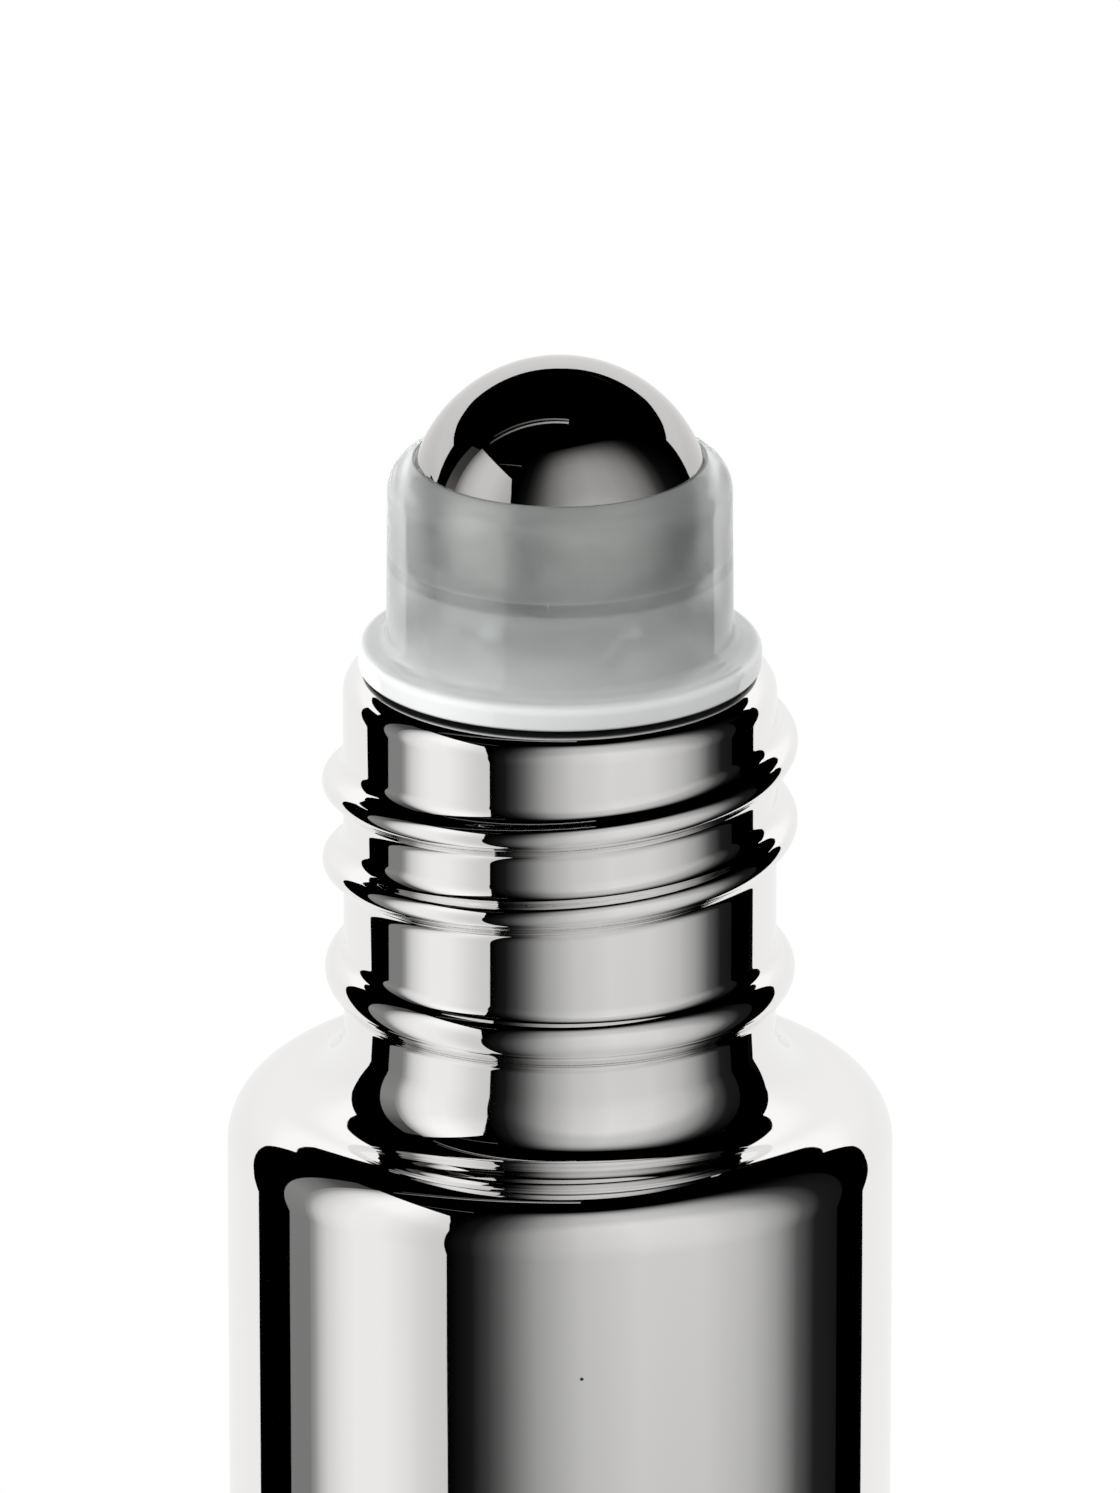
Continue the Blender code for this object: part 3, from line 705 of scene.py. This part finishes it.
LEFT_BOX_HEIGHTS = ((-0.15, 0.97), (0.040, 1.0), (0.075, 1.03), (0.095, 1.13), (0.125, 1.15))
LEFT_SKIRT_OUTLINE = ((-0.0020, -0.15), (-0.0020, 0.117), (0.0080, 0.112), (0.0095, -0.15))
LEFT_SKIRT_HEIGHTS = (
    (-0.15, 0.20),
    (0.030, 0.21),
    (0.060, 0.25),
    (0.080, 0.16),
    (0.092, 0.08),
    (0.117, 0.05),
)
DIFFUSER_RADIUS = 0.050
DIFFUSER_FOOT_Z = -0.10
DIFFUSER_DEGREES = (-35, 118)
DIFFUSER_STEPS = 48
DIFFUSER_CROWN_DEGREES = 22
DIFFUSER_CROWN_DROP = 0.000011
DIFFUSER_LEVELS = (
    (-35, 0.0),
    (-27, 0.008),
    (-22, 0.038),
    (-17.5, 0.095),
    (-13, 0.185),
    (-7, 0.32),
    (7, 0.53),
    (25, 0.64),
    (45, 0.60),
    (62, 0.45),
    (72, 0.29),
    (81, 0.08),
    (89, 0.012),
    (118, 0.003),
)
DIFFUSER_HEIGHTS = (
    (-0.10, 0.90),
    (0.025, 1.0),
    (0.055, 1.20),
    (0.085, 1.25),
    (0.100, 1.0),
    (0.118, 0.93),
    (0.132, 0.78),
    (0.146, 0.50),
    (0.160, 0.20),
    (0.175, 0.0),
)
SWEEP_Y = 0.049
SWEEP_FOOT_Z = -0.15
SWEEP_HEIGHTS = ((-0.15, 0.92), (0.060, 0.93), (0.080, 0.97), (0.092, 1.06), (0.118, 1.06))
SWEEP_RIM = (
    (-0.125, 0.088),
    (-0.101, 0.118),
    (-0.078, 0.110),
    (-0.056, 0.104),
    (-0.035, 0.101),
    (0.0, 0.107),
    (0.035, 0.101),
    (0.056, 0.104),
    (0.078, 0.110),
    (0.101, 0.118),
    (0.125, 0.088),
)
FLAG_X = 0.028
FLAG_OUTLINE = (
    (0.0012, -0.05),
    (0.0012, 0.0755),
    (0.0135, 0.0755),
    (0.0125, 0.060),
    (0.0095, 0.048),
    (0.0095, -0.05),
)
SEAM_Z = 0.126
SEAMS = (
    ("overhead_seam", (-0.054, -0.0035), (0.005, -0.0060), 0.0014, (0.10, 0.40, 0.75)),
    ("dim_overhead_seam", (-0.047, 0.0000), (0.005, -0.0036), 0.0012, (0.05, 0.18, 0.35)),
    ("side_overhead_seam", (-0.057, -0.030), (-0.034, -0.041), 0.0008, (0.05, 0.20, 0.25)),
    ("rear_overhead_seam", (0.012, 0.070), (0.034, 0.062), 0.0010, (0.0, 0.06, 0.0)),
)


def card(name, corners, faces, *fades):
    """A card for mirrored rays. Each fade is a coordinate of it with stops of (place, level)."""
    material = bpy.data.materials.new(name)
    material.use_nodes = True
    material.cycles.emission_sampling = "NONE"
    tree = material.node_tree
    tree.nodes.clear()
    place = add_node(tree, "ShaderNodeTexCoord").outputs["Object"]
    along = dict(add_node(tree, "ShaderNodeSeparateXYZ", {0: place}).outputs.items())
    if "Azimuth" in dict(fades):
        forward = add_node(tree, "ShaderNodeMath", {0: along["Y"], 1: -1.0}, operation="MULTIPLY")
        radians = add_node(tree, "ShaderNodeMath", {0: along["X"], 1: forward}, operation="ARCTAN2")
        azimuth = add_node(tree, "ShaderNodeMath", {0: radians}, operation="DEGREES")
        from_crown = {0: azimuth, 1: DIFFUSER_CROWN_DEGREES}
        aside = add_node(tree, "ShaderNodeMath", from_crown, operation="SUBTRACT")
        square = add_node(tree, "ShaderNodeMath", {0: aside, 1: aside}, operation="MULTIPLY")
        lowered = {0: square, 1: DIFFUSER_CROWN_DROP, 2: along["Z"]}
        along["Azimuth"] = azimuth
        along["Under Crown"] = add_node(tree, "ShaderNodeMath", lowered, operation="MULTIPLY_ADD")
    level = 1.0 if fades else 0.0
    for coordinate, stops in fades:
        first, last = stops[0][0], stops[-1][0]
        share = add_node(tree, "ShaderNodeMapRange", {0: along[coordinate], 1: first, 2: last})
        ramp = add_node(tree, "ShaderNodeValToRGB", {0: share})
        while len(ramp.color_ramp.elements) < len(stops):
            ramp.color_ramp.elements.new(1.0)
        for element, (spot, light) in zip(ramp.color_ramp.elements, stops):
            element.position = (spot - first) / (last - first)
            element.color = (light, light, light, 1.0)
        level = add_node(tree, "ShaderNodeMath", {0: ramp, 1: level}, operation="MULTIPLY")
    lit = add_node(tree, "ShaderNodeEmission", {"Color": linear("#FFFFFF"), "Strength": level})
    clear = add_node(tree, "ShaderNodeBsdfTransparent")
    bounces = add_node(tree, "ShaderNodeLightPath").outputs["Glossy Depth"]
    often = {0: bounces, 1: MIRRORED_DEPTH}
    mirrored = add_node(tree, "ShaderNodeMath", often, operation="GREATER_THAN")
    shown = add_node(tree, "ShaderNodeMixShader", {0: mirrored, 1: clear, 2: lit})
    add_node(tree, "ShaderNodeOutputMaterial", {"Surface": shown})
    mesh = bpy.data.meshes.new(name)
    mesh.from_pydata(corners, [], faces)
    mesh.materials.append(material)
    obj = bpy.data.objects.new(name, mesh)
    bpy.context.scene.collection.objects.link(obj)
    obj.visible_camera = False
    obj.visible_diffuse = False
    obj.visible_shadow = False


card(
    "left_soft_box",
    [(LEFT_BOX_X, y, z) for y, z in LEFT_BOX_OUTLINE],
    [range(len(LEFT_BOX_OUTLINE))],
    ("Y", LEFT_BOX_LEVELS),
    ("Z", LEFT_BOX_HEIGHTS),
)
card(
    "left_soft_box_skirt",
    [(LEFT_BOX_X, y, z) for y, z in LEFT_SKIRT_OUTLINE],
    [range(len(LEFT_SKIRT_OUTLINE))],
    ("Z", LEFT_SKIRT_HEIGHTS),
)
first, last = DIFFUSER_DEGREES
rim_points = []
for step in range(DIFFUSER_STEPS + 1):
    turned = math.radians(first + (last - first) * step / DIFFUSER_STEPS)
    rim_points.append((DIFFUSER_RADIUS * math.sin(turned), -DIFFUSER_RADIUS * math.cos(turned)))
card(
    "front_diffuser",
    [(x, y, z) for x, y in rim_points for z in (DIFFUSER_FOOT_Z, DIFFUSER_HEIGHTS[-1][0])],
    [(2 * step, 2 * step + 1, 2 * step + 3, 2 * step + 2) for step in range(DIFFUSER_STEPS)],
    ("Azimuth", DIFFUSER_LEVELS),
    ("Under Crown", DIFFUSER_HEIGHTS),
)
sweep_outline = ((SWEEP_RIM[0][0], SWEEP_FOOT_Z),) + SWEEP_RIM + ((SWEEP_RIM[-1][0], SWEEP_FOOT_Z),)
card(
    "white_sweep",
    [(x, SWEEP_Y, z) for x, z in sweep_outline],
    [range(len(sweep_outline))],
    ("Z", SWEEP_HEIGHTS),
)
for name, side in (("black_flag_left", -1), ("black_flag_right", 1)):
    card(name, [(side * FLAG_X, y, z) for y, z in FLAG_OUTLINE], [range(len(FLAG_OUTLINE))])
for name, start, end, width, levels in SEAMS:
    corners = [(x, y - width / 2, SEAM_Z) for x, y in (start, end)]
    corners += [(x, y + width / 2, SEAM_Z) for x, y in (end, start)]
    places = (start[0], (start[0] + end[0]) / 2, end[0])
    card(name, corners, [(0, 1, 2, 3)], ("X", tuple(zip(places, levels))))

# World: white behind the bottle and through its clear plastic, plain for matt surfaces, and black
# for mirrored rays, which see the cards instead.
BACKGROUND_LEVEL = 1.0
MATT_LEVEL = 0.62
world = bpy.data.worlds.new("studio")
bpy.context.scene.world = world
world.use_nodes = True
studio = world.node_tree
studio.nodes.clear()
ray = add_node(studio, "ShaderNodeLightPath").outputs
few_bounces = {0: ray["Glossy Depth"], 1: MIRRORED_DEPTH}
unmirrored = add_node(studio, "ShaderNodeMath", few_bounces, operation="LESS_THAN")
white = {0: unmirrored, 1: BACKGROUND_LEVEL}
behind = add_node(studio, "ShaderNodeMath", white, operation="MULTIPLY")
strength = add_node(studio, "ShaderNodeMix", {0: ray["Is Diffuse Ray"], 2: behind, 3: MATT_LEVEL})
sky = add_node(studio, "ShaderNodeBackground", {"Color": linear("#FFFFFF"), "Strength": strength})
add_node(studio, "ShaderNodeOutputWorld", {"Surface": sky})

# Floor: a white table under the bottle. It keeps the shadow near the bottle, and further out it
# glows as white as the background, so no edge of it shows.
FLOOR_RADIUS = 0.4
FLOOR_SEGMENTS = 96
FLOOR_DROP = 0.00002
SHADOW_REACH = (0.02, 0.09)
OWN_LIGHT = (0.55, 1.0)
floor_material = bpy.data.materials.new("white_table")
floor_material.use_nodes = True
floor_tree = floor_material.node_tree
floor_tree.nodes.clear()
floor_place = add_node(floor_tree, "ShaderNodeTexCoord").outputs["Object"]
floor_spread = add_node(floor_tree, "ShaderNodeVectorMath", {0: floor_place}, operation="LENGTH")
floor_distance = floor_spread.outputs["Value"]
floor_white = add_node(
    floor_tree,
    "ShaderNodeMapRange",
    {0: floor_distance, 1: SHADOW_REACH[0], 2: SHADOW_REACH[1], 3: OWN_LIGHT[0], 4: OWN_LIGHT[1]},
    interpolation_type="SMOOTHSTEP",
)
floor_lit = add_node(floor_tree, "ShaderNodeBsdfDiffuse", {"Color": linear("#FFFFFF")})
floor_own = add_node(floor_tree, "ShaderNodeEmission", {"Color": linear("#FFFFFF"), "Strength": 1.0})
floor_mix = add_node(floor_tree, "ShaderNodeMixShader", {0: floor_white, 1: floor_lit, 2: floor_own})
add_node(floor_tree, "ShaderNodeOutputMaterial", {"Surface": floor_mix})
floor_mesh = bpy.data.meshes.new("floor")
bm = bmesh.new()
bmesh.ops.create_circle(bm, cap_ends=True, radius=FLOOR_RADIUS, segments=FLOOR_SEGMENTS)
bmesh.ops.translate(bm, verts=bm.verts, vec=(0, 0, GLASS_LOW.z - FLOOR_DROP))
bm.to_mesh(floor_mesh)
bm.free()
floor_mesh.materials.append(floor_material)
floor = bpy.data.objects.new("floor", floor_mesh)
bpy.context.scene.collection.objects.link(floor)
floor.visible_glossy = False
floor.visible_diffuse = False
floor.visible_transmission = False

# Overhead lamp: a large round soft box high above, which gives the soft shadow on the table and a
# little light on the plastic's top edges.
LAMP_SIZE = 0.5
LAMP_HEIGHT = 0.6
LAMP_ENERGY = 1.2
lamp_data = bpy.data.lights.new("overhead_soft_box", "AREA")
lamp_data.shape = "DISK"
lamp_data.size = LAMP_SIZE
lamp_data.energy = LAMP_ENERGY
lamp = bpy.data.objects.new("overhead_soft_box", lamp_data)
lamp.location = (0, 0, LAMP_HEIGHT)
lamp.visible_glossy = False
bpy.context.scene.collection.objects.link(lamp)

# Left lamp: the light that the left soft box sheds on matt surfaces, so the plastic turns from light
# to grey round the cup.
LEFT_LAMP_SIZE = 0.16
LEFT_LAMP_PLACE = Vector((-0.24, -0.06, 0.09))
LEFT_LAMP_ENERGY = 0.38
left_lamp_data = bpy.data.lights.new("left_soft_box_lamp", "AREA")
left_lamp_data.size = LEFT_LAMP_SIZE
left_lamp_data.energy = LEFT_LAMP_ENERGY
left_lamp = bpy.data.objects.new("left_soft_box_lamp", left_lamp_data)
left_lamp.location = LEFT_LAMP_PLACE
to_lamp = LEFT_LAMP_PLACE - BALL_CENTRE
left_lamp.rotation_euler = to_lamp.to_track_quat("Z", "Y").to_euler()
left_lamp.visible_glossy = False
bpy.context.scene.collection.objects.link(left_lamp)

# Camera: a long lens 0.61 m away, looking down at the neck by 20 degrees, as the photograph was
# taken. The picture is as high as 49 mm at the bottle's axis.
CAMERA_DISTANCE = 0.610
CAMERA_PITCH_DEGREES = 20.2
LOOK_AT_Z = MOUTH_Z - 0.0028
FRAME_HEIGHT_AT_AXIS = 0.0490
camera_data = bpy.data.cameras.new("camera")
camera_data.sensor_width = 36
camera_data.lens = camera_data.sensor_width * CAMERA_DISTANCE / FRAME_HEIGHT_AT_AXIS
camera_data.clip_start = 0.01
camera_data.clip_end = 10
pitch = math.radians(CAMERA_PITCH_DEGREES)
to_eye = Vector((0, -math.cos(pitch), math.sin(pitch)))
camera = bpy.data.objects.new("camera", camera_data)
camera.location = Vector((0, 0, LOOK_AT_Z)) + CAMERA_DISTANCE * to_eye
camera.rotation_euler = to_eye.to_track_quat("Z", "Y").to_euler()
bpy.context.scene.collection.objects.link(camera)
bpy.context.scene.camera = camera

bpy.context.scene.view_settings.view_transform = "Standard"
